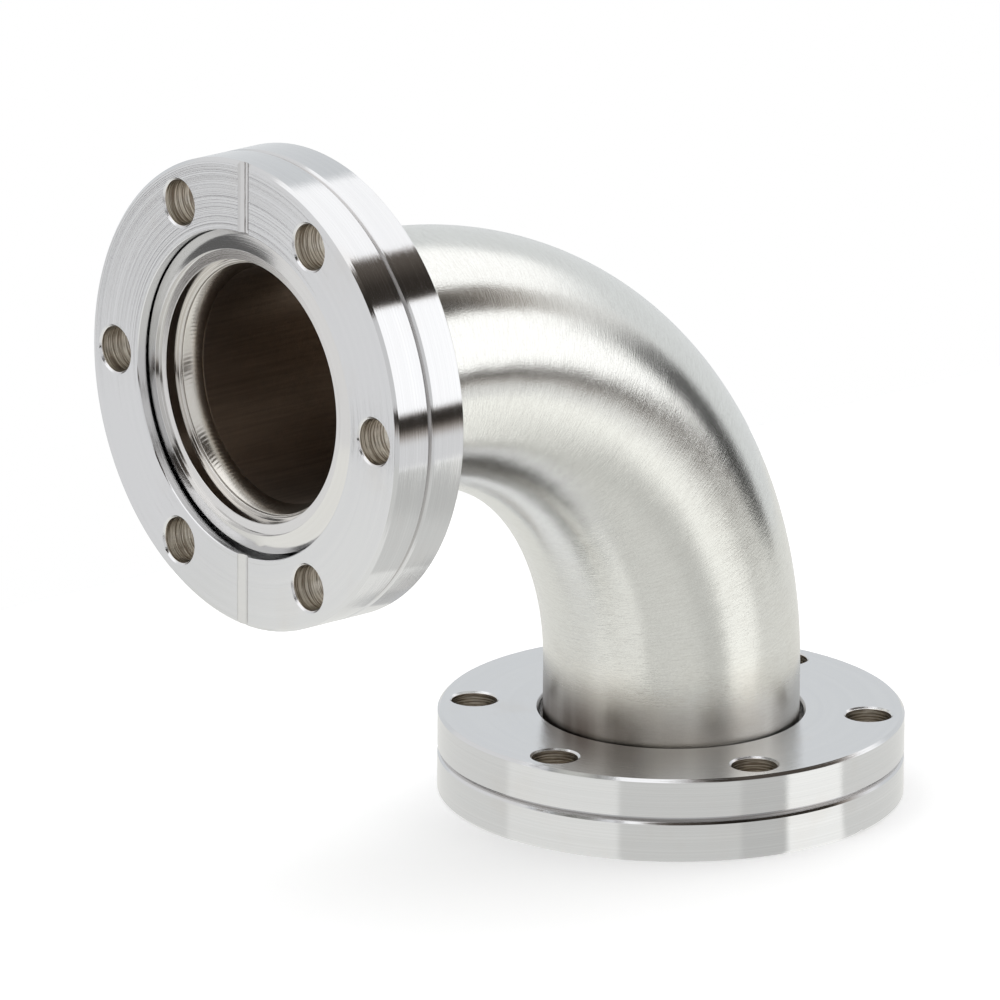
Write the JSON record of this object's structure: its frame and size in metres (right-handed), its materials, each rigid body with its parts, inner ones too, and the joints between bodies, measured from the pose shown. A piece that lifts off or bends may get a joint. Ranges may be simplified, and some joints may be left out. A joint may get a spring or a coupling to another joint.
{
  "type": "vacuum flange elbow",
  "caption": "Right-angle bent steel tube with a rotatable knife-edge vacuum flange welded on at each end.",
  "frame": {"origin": "centre of the lower flange's sealing face, which is the face of its bolt ring", "axes": "-Z out of the lower port, -Y out of the front port, X across the bend plane, so the bend lies in the YZ plane"},
  "size_m": [0.0694, 0.1167, 0.1112],
  "materials": {
    "tube_steel": "satin brushed stainless steel",
    "ring_steel": "fine turned stainless steel",
    "insert_steel": "fine turned stainless steel, polished at the knife edge",
    "weld_steel": "rippled weld bead, as welded",
    "wire_steel": "drawn stainless wire"
  },
  "bodies": {
    "elbow": {"elbow_tube": "tube_steel", "lower_insert": "insert_steel", "front_insert": "insert_steel", "lower_weld_bead": "weld_steel", "front_weld_bead": "weld_steel", "lower_retaining_wire": "wire_steel", "front_retaining_wire": "wire_steel"},
    "lower_ring": {"lower_bolt_ring": "ring_steel"},
    "front_ring": {"front_bolt_ring": "ring_steel"}
  },
  "joints": [
    {"name": "lower_ring_spin", "type": "hinge", "parent": "elbow", "child": "lower_ring", "pos_m": [0, 0, 0], "axis": [0, 0, 1], "continuous": true},
    {"name": "front_ring_spin", "type": "hinge", "parent": "elbow", "child": "front_ring", "pos_m": [0, -0.082, 0.07655], "axis": [0, -1, 0], "continuous": true}
  ]
}
